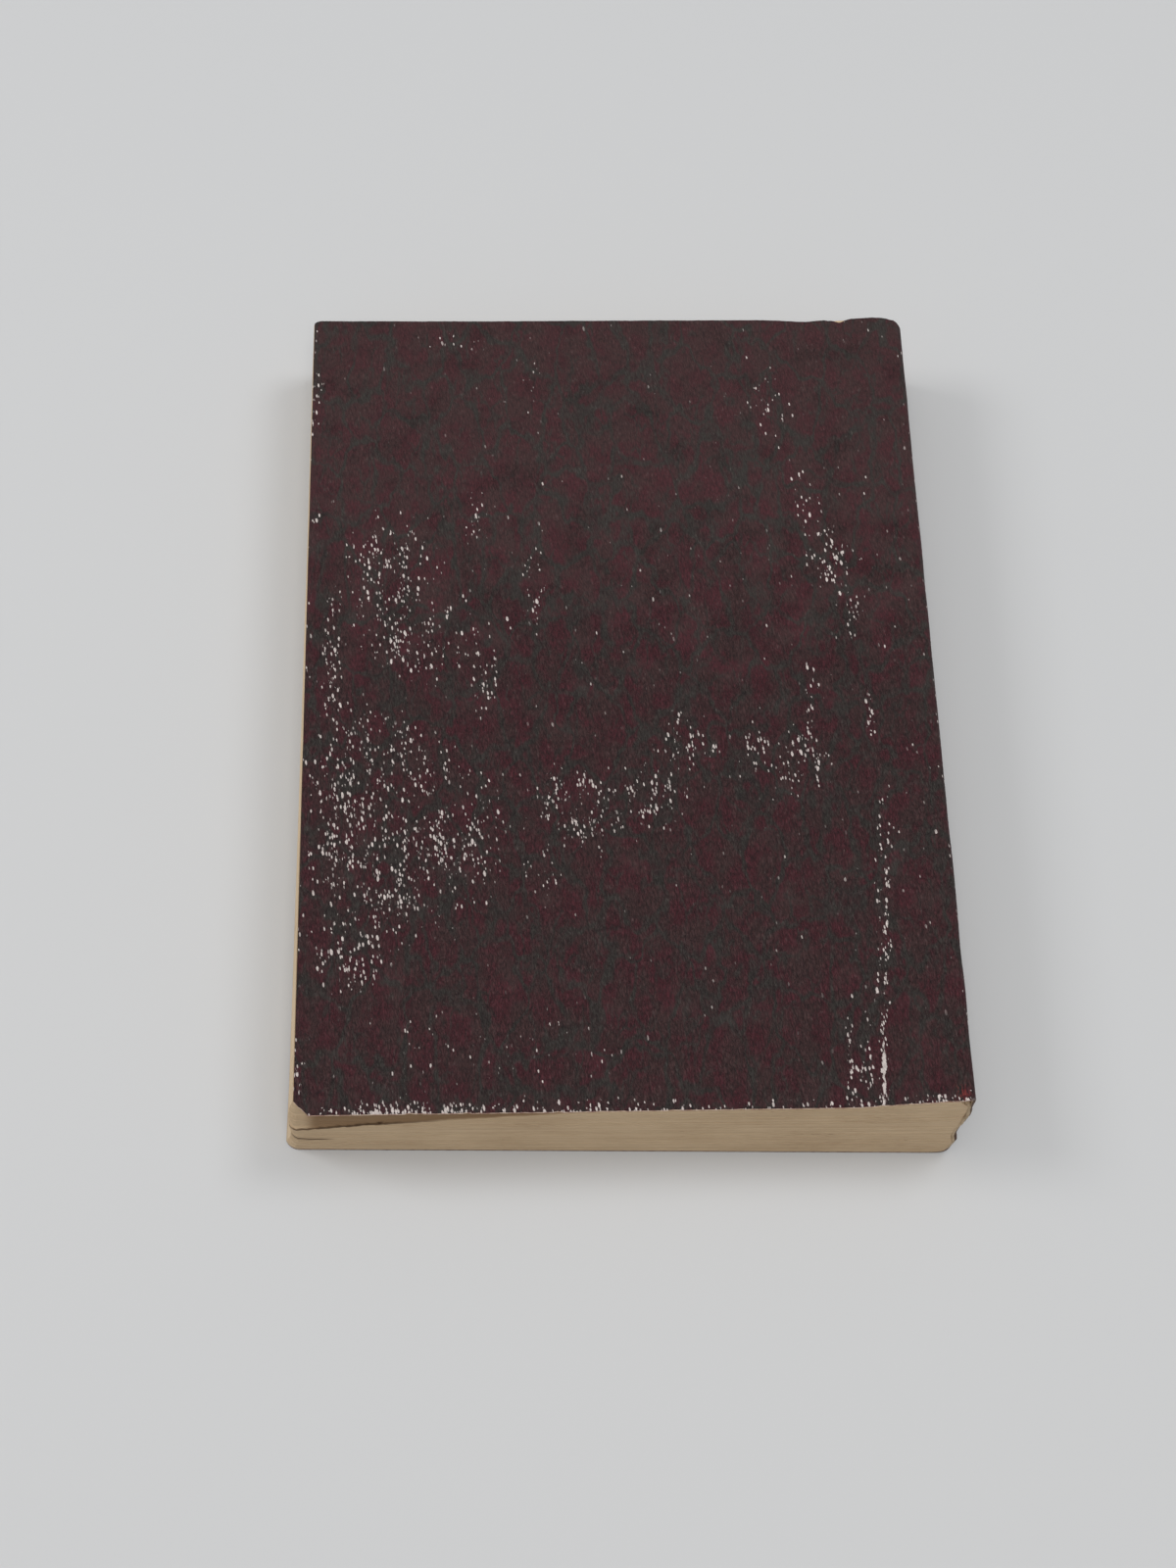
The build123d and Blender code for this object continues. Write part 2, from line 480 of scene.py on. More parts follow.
class Shader:
    """One material and the nodes of its surface."""

    def __init__(self, name: str, roughness: float, specular: float) -> None:
        """Makes the material with its Principled shader.

        Args:
            name: name of the material.
            roughness: roughness where nothing is linked to it.
            specular: specular level of the whole surface.
        """
        self.material = bpy.data.materials.new(name)
        self.material.use_nodes = True
        self.tree = self.material.node_tree
        self.surface = self.tree.nodes["Principled BSDF"]
        self.surface.inputs["Roughness"].default_value = roughness
        self.surface.inputs["Specular IOR Level"].default_value = specular

    def node(self, kind: str, settings: dict, inputs: dict, output: Union[int, str] = 0) -> Wire:
        """Output of a new node.

        Args:
            kind: type name of the node.
            settings: properties, set before the sockets.
            inputs: number or link of each socket, by its number or name.
            output: which output is returned.

        Returns:
            The chosen output.
        """
        made = self.tree.nodes.new(kind)
        for key, value in settings.items():
            setattr(made, key, value)
        for key, value in inputs.items():
            self._fill(made.inputs[key], value)
        return Wire(self, made.outputs[output])

    def _fill(self, socket: bpy.types.NodeSocket, value: Value) -> None:
        """Links a value to a socket, or sets it there.

        Args:
            socket: the socket.
            value: the wire that feeds it, or what it is set to.
        """
        if isinstance(value, Wire):
            self.tree.links.new(value.socket, socket)
        else:
            socket.default_value = value

    def _scaled(self, source: str, scale: tuple) -> Wire:
        """Millimetre coordinates from one output of Texture Coordinate, times a scale."""
        start = self.node("ShaderNodeTexCoord", {}, {}, source)
        return self.node("ShaderNodeMapping", {}, {0: start, "Scale": tuple(part / MM for part in scale)})

    def sheet(self, across: float = 1.0, along: float = 1.0) -> Wire:
        """Coordinates of the flat sheet in millimetres, scaled across and along it."""
        return self._scaled("UV", (across, along, 1.0))

    def solid(self, level: float = 1.0, up: float = 1.0) -> Wire:
        """Coordinates of the object in millimetres, scaled on the level and upwards."""
        return self._scaled("Object", (level, level, up))

    def leaning(self, across: float, along: float, lean: float, shift: float = 0.0) -> Wire:
        """Coordinates of the flat sheet that lean from its length.

        Args:
            across: scale across the sheet, for each millimetre.
            along: scale along the sheet, for each millimetre.
            lean: turn in degrees.
            shift: offset in millimetres, before the scale.

        Returns:
            The coordinates.
        """
        turn = {"Rotation": (0.0, 0.0, math.radians(lean)), "Location": (shift, shift, 0.0)}
        turned = self.node("ShaderNodeMapping", {}, {0: self.sheet(), **turn})
        return self.node("ShaderNodeMapping", {}, {0: turned, "Scale": (across, along, 1.0)})

    def clouds(self, place: Wire, scale: float, detail: float = 2.0, roughness: float = 0.5) -> Wire:
        """Noise from 0 to 1.

        Args:
            place: the coordinates.
            scale: its fineness on them.
            detail: how many finer layers it has.
            roughness: how strong the finer layers are.

        Returns:
            The noise.
        """
        inputs = {"Vector": place, "Scale": scale, "Detail": detail, "Roughness": roughness}
        return self.node("ShaderNodeTexNoise", {}, inputs)

    def cells(self, place: Wire, feature: str, output: str) -> Wire:
        """Irregular cells, about one for each unit of the coordinates.

        Args:
            place: the coordinates.
            feature: what is measured in the cells.
            output: which output is returned.

        Returns:
            The chosen output.
        """
        inputs = {"Vector": place, "Scale": 1.0}
        return self.node("ShaderNodeTexVoronoi", {"feature": feature}, inputs, output)

    def warped(self, place: Wire, scale: float, amount: float) -> Wire:
        """Coordinates pushed about by noise.

        Args:
            place: the coordinates.
            scale: fineness of the noise on them.
            amount: how far they are pushed, in their own units.

        Returns:
            The pushed coordinates.
        """
        noisy = {"Vector": place, "Scale": scale, "Detail": 2.0}
        push = self.node("ShaderNodeTexNoise", {}, noisy, "Color")
        middle = (0.5, 0.5, 0.5)
        centred = self.node("ShaderNodeVectorMath", {"operation": "SUBTRACT"}, {0: push, 1: middle})
        pushed = self.node("ShaderNodeVectorMath", {"operation": "SCALE"}, {0: centred, "Scale": amount})
        return self.node("ShaderNodeVectorMath", {"operation": "ADD"}, {0: place, 1: pushed})

    def mixed(self, share: Value, first: Value, second: Value) -> Wire:
        """Colour between two colours."""
        return self.node("ShaderNodeMix", {"data_type": "RGBA"}, {0: share, 6: first, 7: second}, 2)

    def attribute(self, name: str) -> Wire:
        """A number painted on the mesh."""
        return self.node("ShaderNodeAttribute", {"attribute_name": name}, {}, "Fac")

    def part_of(self, place: Wire, axis: int) -> Wire:
        """One coordinate of a place."""
        return self.node("ShaderNodeSeparateXYZ", {}, {0: place}, axis)

    def dress(self, colour: Wire, roughness: Optional[Wire], height: Wire, depth: float) -> None:
        """Links the surface: its colour, roughness and relief.

        Args:
            colour: base colour.
            roughness: what varies the roughness, if anything does.
            height: relief from 0 to 1.
            depth: depth of the relief in metres.
        """
        self._fill(self.surface.inputs["Base Color"], colour)
        if roughness is not None:
            self._fill(self.surface.inputs["Roughness"], roughness)
        relief = self.node("ShaderNodeBump", {}, {"Strength": 1.0, "Distance": depth, "Height": height})
        self._fill(self.surface.inputs["Normal"], relief)


@dataclass(frozen=True)
class LeatheredSheet:
    """Finish of the cover sheet: crushed-leather print in maroon and grey-green, with pale flakes.

    Args:
        brown: colour between the patches.
        maroon: colour of the redder patches.
        vein: grey-green colour of the printed veins.
        seam: colour down in the grain.
        rubbed: colour where the print has rubbed thin.
        shine: colour of the grain's dry highlights.
        flake: colour of the paper where the print has flaked.
        relief: depth of the grain in metres.
    """

    brown: tuple = (0.0640, 0.0310, 0.0310, 1.0)
    maroon: tuple = (0.079, 0.0188, 0.0255, 1.0)
    vein: tuple = (0.0410, 0.0410, 0.0360, 1.0)
    seam: tuple = (0.015, 0.010, 0.011, 1.0)
    rubbed: tuple = (0.24, 0.040, 0.036, 1.0)
    shine: tuple = (0.24, 0.19, 0.18, 1.0)
    flake: tuple = (0.70, 0.62, 0.59, 1.0)
    relief: float = 0.16 * MM

    def make(self) -> bpy.types.Material:
        """Builds the finish.

        Returns:
            Its material.
        """
        shader = Shader("leathered_sheet", 0.55, 0.16)
        flat = shader.sheet()
        patches = shader.clouds(shader.sheet(1.0, 0.70), 0.27, 3.0, 0.55)
        lower = shader.part_of(flat, 1).step(150.0, 70.0)
        colour = shader.mixed(patches.step(0.40, 0.62) * (0.55 + 0.45 * lower), self.brown, self.maroon)
        streak_place = shader.leaning(2.6, 0.80, -8.0)
        streaks = shader.clouds(streak_place, 1.0, 2.0, 0.6)
        veins = self.veins(shader, streaks)
        colour = shader.mixed(veins, colour, self.vein)
        grain = shader.cells(shader.warped(streak_place, 0.9, 0.5), "DISTANCE_TO_EDGE", "Distance")
        dome = grain.step(0.0, 0.30)
        crinkles = self.crinkles(shader, flat)
        dark = (1 - dome) * 0.34 + streaks.step(0.56, 0.30) * 0.36 + crinkles * 0.27
        colour = shader.mixed(dark, colour, self.seam)
        shine = streaks.step(0.58, 0.78) * shader.clouds(flat, 0.22, 2.0).step(0.40, 0.65)
        colour = shader.mixed(shine * 0.24, colour, self.shine)
        red = shader.attribute("rubbed") * streaks.step(0.48, 0.62) * 0.8
        colour = shader.mixed(red, colour, self.rubbed)
        flakes = self.flakes(shader)
        colour = shader.mixed(flakes, colour, self.flake)
        roughness = 0.50 + 0.12 * shader.clouds(flat, 0.5, 2.0) + 0.35 * flakes
        height = dome * 0.40 + streaks * 0.40 - crinkles * 0.60 - flakes * 0.30
        shader.dress(colour, roughness, height, self.relief)
        return shader.material

    @staticmethod
    def veins(shader: Shader, streaks: Wire) -> Wire:
        """Branching printed veins, most of them along the book.

        Args:
            shader: the material's shader.
            streaks: the grain's streaks, which fray the veins.

        Returns:
            How much of the vein's colour shows.
        """
        wide_place = shader.warped(shader.sheet(0.145, 0.080), 1.9, 0.75)
        wide = shader.cells(wide_place, "DISTANCE_TO_EDGE", "Distance")
        swell = shader.clouds(shader.sheet(0.20, 0.10), 1.0, 2.0)
        first = (wide - swell * 0.09).step(0.034, -0.026)
        fine_place = shader.warped(shader.sheet(0.33, 0.140), 1.5, 0.85)
        fine = shader.cells(fine_place, "DISTANCE_TO_EDGE", "Distance")
        second = fine.step(0.095, 0.0) * shader.clouds(wide_place, 1.6, 2.0).step(0.44, 0.58)
        ragged = shader.clouds(shader.sheet(0.5, 0.3), 1.0, 3.0)
        frayed = (streaks * 0.45 + ragged * 0.8).step(0.42, 0.72)
        return first.greater(second * 0.85) * (0.38 + 0.50 * frayed)

    @staticmethod
    def crinkles(shader: Shader, flat: Wire) -> Wire:
        """Fine creases of the print's grain, mostly along the book and most of them near its tail.

        Args:
            shader: the material's shader.
            flat: coordinates of the flat sheet in millimetres.

        Returns:
            Depth of the creases.
        """
        place = shader.leaning(0.95, 0.30, -5.0)
        coarse = (shader.clouds(place, 1.0, 3.0, 0.6) - 0.5).size().step(0.035, 0.0)
        fine = (shader.clouds(place, 2.3, 3.0, 0.6) - 0.5).size().step(0.06, 0.0)
        near_tail = shader.part_of(flat, 1).step(125.0, 55.0)
        area = (shader.clouds(flat, 0.16, 2.0) + near_tail * 0.30).step(0.42, 0.80)
        return coarse.greater(fine * 0.7) * area

    def flakes(self, shader: Shader) -> Wire:
        """Grains whose print has flaked off, by the wear painted on the sheet.

        Args:
            shader: the material's shader.

        Returns:
            How much of the bare paper shows.
        """
        small = self.flake_field(shader, (2.9, 1.20), 0.0, 0.62)
        large = self.flake_field(shader, (2.0, 0.85), 13.0, 0.50)
        crack = shader.attribute("crack")
        torn_place = shader.leaning(2.4, 0.85, -10.0)
        torn = (crack + shader.clouds(torn_place, 1.0, 3.0, 0.65) * 1.15).step(1.22, 1.34)
        return small.greater(large).greater(torn)

    @staticmethod
    def flake_field(shader: Shader, scale: tuple[float, float], shift: float, share: float) -> Wire:
        """One size of flakes, in files along the book.

        Args:
            shader: the material's shader.
            scale: cells for each millimetre across and along.
            shift: offset that sets this field apart from the other.
            share: largest share of its cells that flake.

        Returns:
            How much of the bare paper shows.
        """
        wear = shader.attribute("wear")
        place = shader.warped(shader.leaning(*scale, -9.0, shift), 0.7, 0.35)
        files = shader.clouds(shader.sheet(0.70, 0.10), 1.0, 3.0, 0.6).step(0.42, 0.58)
        clumps = shader.clouds(shader.sheet(0.30, 0.22), 1.0, 3.0, 0.6).step(0.34, 0.60)
        chance = shader.cells(place, "F1", "Color")
        lot, size = (shader.node("ShaderNodeSeparateColor", {}, {0: chance}, number) for number in (0, 1))
        crack = shader.attribute("crack")
        worn = (wear * share * (0.26 + 0.50 * files * clumps + 0.75 * files)).greater(crack * 0.90)
        near = shader.cells(place, "F1", "Distance") + shader.clouds(place, 2.3, 2.0) * 0.22
        grain = (near - size * 0.20 - wear * 0.12 - crack * 0.10).step(0.38, 0.25)
        return (worn - lot).step(-0.005, 0.015) * grain * (0.45 + size + crack)


@dataclass(frozen=True)
class CutSheetEdge:
    """Finish of the cover sheet's cut edge: the pale paper that carries the print.

    Args:
        paper, stained: colours of clean and of stained paper.
        dark_rim: colour of the darkened cut edge: painted shade along the front cover's edge on the table,
            and darker round the spine.
        relief: depth of the fibres in metres.
    """

    paper: tuple = (0.78, 0.60, 0.47, 1.0)
    stained: tuple = (0.42, 0.24, 0.19, 1.0)
    dark_rim: tuple = (0.055, 0.036, 0.030, 1.0)
    relief: float = 0.04 * MM

    def make(self) -> bpy.types.Material:
        """Builds the finish.

        Returns:
            Its material.
        """
        shader = Shader("cover_cut_edge", 0.85, 0.2)
        place = shader.solid()
        spots = shader.clouds(place, 0.9, 4.0, 0.6).step(0.42, 0.62)
        fibres = shader.clouds(shader.solid(3.0, 9.0), 1.0, 3.0)
        colour = shader.mixed(spots, self.paper, self.stained)
        # Darkens the cut edge: painted shade along the front cover's edge on the table, and darker round the
        # spine.
        colour = shader.mixed(shader.attribute("rim_darkening") * 0.85, colour, self.dark_rim)
        shader.dress(colour, None, fibres, self.relief)
        return shader.material


@dataclass(frozen=True)
class CoverInside:
    """Finish of the cover's inner face: plain board paper, browned and a little foxed.

    Args:
        paper, browned: colours of the lighter and of the browned clouds.
        foxed: colour of the small spots.
        relief: depth of the fibres in metres.
    """

    paper: tuple = (0.56, 0.445, 0.315, 1.0)
    browned: tuple = (0.495, 0.38, 0.26, 1.0)
    foxed: tuple = (0.26, 0.145, 0.075, 1.0)
    relief: float = 0.04 * MM

    def make(self) -> bpy.types.Material:
        """Builds the finish.

        Returns:
            Its material.
        """
        shader = Shader("cover_inside", 0.85, 0.2)
        place = shader.sheet()
        clouds = shader.clouds(place, 0.045, 5.0, 0.7)
        spots = shader.clouds(place, 0.55, 3.0).step(0.70, 0.78)
        fibres = shader.clouds(place, 3.5, 3.0)
        colour = shader.mixed(clouds.step(0.35, 0.70), self.paper, self.browned)
        colour = shader.mixed(spots * 0.7, colour, self.foxed)
        shader.dress(colour, None, fibres, self.relief)
        return shader.material


@dataclass(frozen=True)
class LeafEdges:
    """Finish of the leaves: browned paper, with the fine lines of cut edges on its sides.

    Args:
        light, brown: colours of the lighter and of the browned lines.
        fore: painted light: a lighter colour on the fore-edge, where the light from the left falls.
        shaded: colour of the leaves that stand back above the gap.
        gap: painted shade down in the gap between the groups of leaves, in the slits and in the short gaps
            between leaves.
        slit_height, under_slit_height: heights of the two slits at the fore-edge corner, in millimetres.
        deep_gap_from_fore: place of the gap's widest point, where its painted shade is darkest, in
            millimetres from the fore-edge.
        relief: depth of the lines in metres.
    """

    light: tuple = (0.590, 0.455, 0.305, 1.0)
    brown: tuple = (0.43, 0.308, 0.192, 1.0)
    fore: tuple = (0.78, 0.64, 0.46, 1.0)
    shaded: tuple = (0.24, 0.152, 0.085, 1.0)
    gap: tuple = (0.055, 0.030, 0.016, 1.0)
    slit_height: float = 4.9
    under_slit_height: float = 4.2
    deep_gap_from_fore: float = 14.0
    relief: float = 0.06 * MM

    def make(self) -> bpy.types.Material:
        """Builds the finish.

        Returns:
            Its material.
        """
        shader = Shader("leaf_edges", 0.9, 0.15)
        lines = shader.clouds(shader.solid(0.035, 7.0), 1.0, 4.0, 0.65)
        long_lines = shader.clouds(shader.solid(0.018, 2.6), 1.0, 3.0)
        # Noise for the browned tone, and for where the painted shade of the short gaps between leaves lies.
        grime_and_gap_shade = shader.clouds(shader.solid(0.07, 0.12), 1.0, 3.0)
        short = shader.clouds(shader.solid(0.5, 11.0), 1.0, 2.0)
        tone = lines * 0.38 + long_lines * 0.22 + grime_and_gap_shade * 0.30 + short * 0.25
        colour = shader.mixed(tone.step(0.38, 0.80), self.light, self.brown)
        fore = shader.attribute("fore")
        # Painted light on the fore-edge, which faces the light from the left.
        colour = shader.mixed(fore * 0.45, colour, self.fore)
        above = shader.attribute("above")
        from_fore = shader.attribute("from_fore")
        under = above.step(-0.05, 0.12) * from_fore.step(2.0, 4.5) * from_fore.step(60.0, 30.0)
        colour = shader.mixed(under * 0.92, colour, self.shaded)
        high = shader.part_of(shader.solid(), 2)
        wave = (grime_and_gap_shade - 0.5) * 1.2
        # Painted shade in the gap between the two groups of leaves.
        gap = (above + wave * 0.20).size().step(0.17, 0.04) * from_fore.step(30.0, 12.0) * 0.85
        # Painted shade, darkest at the gap's widest point.
        deep_gap_shade = (above - 0.04 + wave * 0.3).size().step(0.22, 0.04)
        deep_gap_shade = deep_gap_shade * (from_fore - self.deep_gap_from_fore + wave).size().step(0.9, 0.1)
        level = high + wave * 0.3
        # Painted shade in the slits at the fore-edge corner and in short gaps between leaves.
        slit = (level - self.slit_height).size().step(0.22, 0.05) * from_fore.step(7.5, 4.5)
        under_slit = (level - self.under_slit_height).size().step(0.16, 0.04)
        under_slit = under_slit * from_fore.step(4.5, 2.0) * 0.7
        short_slits = short.step(0.66, 0.76) * grime_and_gap_shade.step(0.48, 0.62) * 0.5
        # All the painted shade of the gap and the slits, in the gap's colour.
        dark = gap.greater(deep_gap_shade).greater(slit).greater(under_slit).greater(short_slits)
        colour = shader.mixed(dark, colour, self.gap)
        shader.dress(colour, None, lines * 0.7 + long_lines * 0.3, self.relief)
        return shader.material


@dataclass(frozen=True)
class DriedAdhesive:
    """Finish of the adhesive film behind the cover's spine.

    Args:
        light, dark: colours of its thin and of its thick places.
        relief: depth of its lumps in metres.
    """

    light: tuple = (0.50, 0.375, 0.24, 1.0)
    dark: tuple = (0.34, 0.24, 0.14, 1.0)
    relief: float = 0.1 * MM

    def make(self) -> bpy.types.Material:
        """Builds the finish.

        Returns:
            Its material.
        """
        shader = Shader("dried_adhesive", 0.55, 0.4)
        lumps = shader.clouds(shader.solid(), 0.8, 3.0)
        colour = shader.mixed(lumps.step(0.35, 0.7), self.light, self.dark)
        shader.dress(colour, None, lumps, self.relief)
        return shader.material


@dataclass
class CoverSheet:
    """One half of the folded cover sheet, made flat and then bent round the block.

    Args:
        form: sizes of the book.
        finishes: materials of the outer face, the inside and the cut edge.
        edge_band: width of the finer columns beside the fore-edge.
        crease_band: width of the finer columns on each side of the crease.
        tuck: how far the sheet runs on past the front fold.
        bend_reach: half of the width that would bend if the cover opened; not used.
    """

    form: BookForm
    finishes: list[bpy.types.Material]
    edge_band: float = 3.0 * MM
    crease_band: float = 3.0 * MM
    tuck: float = 1.0 * MM
    bend_reach: float = 1.1 * MM

    def flat(self, across: list[float], along: list[float], names: Sequence[str]) -> tuple:
        """Flat sheet with a grid of faces.

        Args:
            across: places from the fore-edge towards the spine and round it.
            along: places from the tail to the head, as shares of the length.
            names: names of the numbers to be painted on it.

        Returns:
            The mesh, the pair of places of each of its vertices, and the painted layers.
        """
        mesh = bmesh.new()
        layers = [mesh.verts.layers.float.new(name) for name in names]
        columns, rows = len(across) - 1, len(along) - 1
        bmesh.ops.create_grid(mesh, x_segments=columns, y_segments=rows, size=1.0)
        places = {}
        for vertex in mesh.verts:
            column = round((vertex.co.x + 1) / 2 * columns)
            row = round((vertex.co.y + 1) / 2 * rows)
            places[vertex] = (across[column], along[row])
        return mesh, places, layers

    def finish(self, mesh: bmesh.types.BMesh, name: str, flat_of: dict, thicken: float) -> bpy.types.Object:
        """Turns the bent sheet into an object with a thickness and a flat UV map.

        Args:
            mesh: the bent sheet's outer face.
            name: name of the object.
            flat_of: place on the flat sheet of each vertex, in metres.
            thicken: offset side of the thickness, -1 towards the back of the faces.

        Returns:
            The object.
        """
        layer = mesh.loops.layers.uv.new("flat")
        for face in mesh.faces:
            face.smooth = True
            for loop in face.loops:
                loop[layer].uv = flat_of[loop.vert]
        piece = make_object(mesh, name, self.finishes)
        solid = piece.modifiers.new("thickness", "SOLIDIFY")
        solid.thickness = self.form.cover_thickness
        solid.offset = thicken
        solid.use_even_offset = False
        solid.material_offset = 1
        solid.material_offset_rim = 2
        return piece


@dataclass
class BackSheet(CoverSheet):
    """Back panel, back strip and spine, down to the table.

    Args:
        painted: names of the numbers painted on it.
        end_band: length of the finer rows at the head and at the tail.
        chip_along, chip_across: size of the broken corner at the tail.
        nick_from_spine, nick_half_width, nick_depth: place and size of the head edge's nick.
        valley_from_spine: place of the valley that opening has pressed beside the crease.
        patches: where its print has flaked.
    """

    painted: tuple[str, ...] = ("wear", "crack", "rubbed", "rim_darkening")
    end_band: float = 4.0 * MM
    chip_along: float = 2.2 * MM
    chip_across: float = 2.3 * MM
    nick_from_spine: float = 10.9 * MM
    nick_half_width: float = 1.1 * MM
    nick_depth: float = 0.7 * MM
    valley_from_spine: float = 12.8 * MM
    patches: tuple[Patch, ...] = (
        Patch(14.0, 94.0, 8.5, 14.0, 0.46),
        Patch(17.5, 84.0, 8.0, 9.0, 0.42, 12),
        Patch(28.6, 107.5, 2.4, 6.0, 0.50, -14),
        Patch(38.4, 93.5, 2.2, 10.0, 0.48),
        Patch(28.0, 80.0, 4.0, 13.0, 0.34, 16),
        Patch(4.4, 77.0, 2.0, 19.0, 0.50),
        Patch(7.5, 52.0, 6.5, 20.0, 0.62),
        Patch(15.0, 42.0, 11.0, 13.0, 0.50, 18),
        Patch(20.0, 56.0, 8.0, 10.0, 0.42, 30),
        Patch(22.6, 47.6, 2.6, 4.6, 0.70),
        Patch(26.5, 49.0, 6.5, 15.0, 0.40, 10),
        Patch(9.0, 27.0, 8.0, 7.0, 0.50, 20),
        Patch(11.0, 62.0, 10.0, 9.0, 0.40),
        Patch(44.5, 52.0, 9.0, 7.0, 0.52, -25),
        Patch(55.0, 53.0, 8.5, 6.5, 0.50, 35),
        Patch(62.9, 63.5, 5.0, 6.0, 0.44, 30),
        Patch(39.0, 41.0, 4.5, 6.0, 0.22),
        Patch(74.0, 62.0, 4.0, 6.0, 0.30),
        Patch(82.0, 61.0, 5.5, 6.5, 0.42),
        Patch(84.5, 72.0, 1.2, 8.0, 0.40),
        Patch(88.5, 100.0, 4.0, 9.0, 0.46, 10),
        Patch(92.5, 92.0, 2.0, 10.0, 0.34),
        Patch(86.0, 110.0, 2.5, 7.0, 0.30, 12),
        Patch(93.8, 69.3, 1.4, 6.0, 0.42),
        Patch(80.5, 130.0, 4.0, 11.0, 0.20, 8),
        Patch(38.4, 137.0, 2.0, 8.5, 0.26),
        Patch(24.0, 145.0, 6.0, 2.0, 0.16),
        Patch(88.0, 9.0, 2.4, 8.5, 0.32),
        Patch(17.0, 0.8, 13.0, 2.2, 0.50),
        Patch(48.0, 0.5, 34.0, 1.7, 0.30),
        Patch(30.0, 10.0, 22.0, 8.0, 0.07),
        Patch(0.6, 133.7, 1.2, 6.5, 0.50),
        Patch(1.0, 107.3, 1.2, 2.6, 0.50),
        Patch(0.5, 4.0, 2.0, 6.0, 0.55),
    )

    def spans(self) -> list[tuple[float, int]]:
        """Spans across the sheet: panel, crease, strip, fold, spine, fold and tuck.

        Returns:
            Length of each span, and its count of cells.
        """
        form, crease = self.form, self.crease_band
        back_arc, wall, front_arc = form.spine_spans(0.0)
        return [
            (self.edge_band, 12),
            (form.crease_x + form.half_width - crease - self.edge_band, 98),
            (2 * crease, 24),
            (form.crease_from_spine - crease - form.back_fold_radius, 14),
            (back_arc, 8),
            (wall, 30),
            (front_arc, 8),
            (self.tuck, 2),
        ]

    def section(self, across: float) -> tuple[float, float]:
        """Place across the leaf, and height, of a point of the outer face.

        Args:
            across: distance from the fore-edge along the sheet.

        Returns:
            The place across the leaf, and the height.
        """
        form = self.form
        flat = form.leaf_width - form.back_fold_radius
        if across > flat:
            return form.spine_section(across - flat, 0.0)
        x = across - form.half_width
        return x, form.top(x)

    def tail_edge(self, across: float, x: float, z: float) -> float:
        """Tail edge of the sheet: trimmed, with the broken corner and small tears.

        Args:
            across: distance from the fore-edge along the sheet.
            x: place across the leaf, from its middle to the spine.
            z: height above the table.

        Returns:
            Place of the edge along the leaf.
        """
        edge = self.form.tail(x, z)
        if across < self.chip_across:
            ragged = 0.12 * MM * ripple(across / MM * 2.1, 4.0)
            chip = self.chip_along * (1 - across / self.chip_across)
            edge = max(edge, chip + ragged - self.form.half_length)
        tear = ripple(across / MM * 0.9, 1.7) - 0.25
        fine = abs(ripple(across / MM * 2.8, 9.1)) * 0.10
        return edge + (max(tear, 0.0) * 0.5 + fine) * MM

    def head_edge(self, across: float, x: float, z: float) -> float:
        """Head edge of the sheet: trimmed, with its nick.

        Args:
            across: distance from the fore-edge along the sheet.
            x: place across the leaf, from its middle to the spine.
            z: height above the table.

        Returns:
            Place of the edge along the leaf.
        """
        edge = self.form.head(x, z)
        nick_at = self.form.leaf_width - self.nick_from_spine
        nick = bump_at(across, nick_at, self.nick_half_width) * self.nick_depth
        return edge - nick - abs(ripple(across / MM * 1.9, 3.3)) * 0.10 * MM

    def relief(self, across: float, along: float) -> float:
        """Small rise or fall of the back cover's face: slow waves, the crease's valleys and the shoulder.

        Args:
            across: distance from the fore-edge along the sheet.
            along: distance from the tail.

        Returns:
            The rise.
        """
        at = Vector((across / MM, along / MM, 0.0))
        waves = 0.10 * noise.noise(at * 0.035) + 0.035 * noise.noise(at * 0.16)
        valley_at = (self.form.leaf_width - self.valley_from_spine) / MM
        crease_at = valley_at + 0.35 * ripple(0.0, along / MM * 0.09, 2.0)
        valley = -0.14 * bump_at(across / MM, crease_at, 0.55)
        second = -0.05 * bump_at(across / MM, crease_at - 3.2, 0.7) * smooth_step(22.0, 8.0, along / MM)
        shoulder = -0.07 * bump_at(across / MM, 103.2, 0.35)
        fade = smooth_step(0.0, 1.5, across / MM) * smooth_step(105.5, 104.2, across / MM)
        return (waves + valley + second + shoulder) * fade * MM

    def build(self) -> bpy.types.Object:
        """Bends the flat sheet round the block and paints its wear.

        Returns:
            The finished sheet.
        """
        form = self.form
        end = self.end_band / form.leaf_length
        rows = spread([(end, 12), (1 - 2 * end, 152), (end, 10)])
        mesh, places, (wear, crack, rubbed, rim_darkening) = self.flat(spread(self.spans()), rows, self.painted)
        flat_of = {}
        for vertex, (across, share) in places.items():
            x, z = self.section(across)
            low, high = self.tail_edge(across, x, z), self.head_edge(across, x, z)
            y = low + (high - low) * share
            along = y + form.half_length
            if across <= form.leaf_width:
                z += self.relief(across, along) + form.top(x, y) - form.top(x)
            if across > form.leaf_width - form.back_fold_radius:
                x += form.crumple(along, z)
            vertex.co = form.place(x, y, z)
            flat_of[vertex] = (across, along)
            vertex[wear] = self.wear_at(across / MM, along / MM)
            vertex[crack] = self.crack_at(across / MM, along / MM)
            vertex[rubbed] = self.rubbed_at(across / MM, along / MM)
            # The cut edge is painted darker round the spine.
            vertex[rim_darkening] = smooth_step(102.0, 105.5, across / MM)
        piece = self.finish(mesh, "back_cover_sheet", flat_of, -1.0)
        middle = form.place(form.crease_x, 0.0, form.stack_height + form.riser_height)
        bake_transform(piece)
        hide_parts("back_cover", "cover_spine")
        return piece

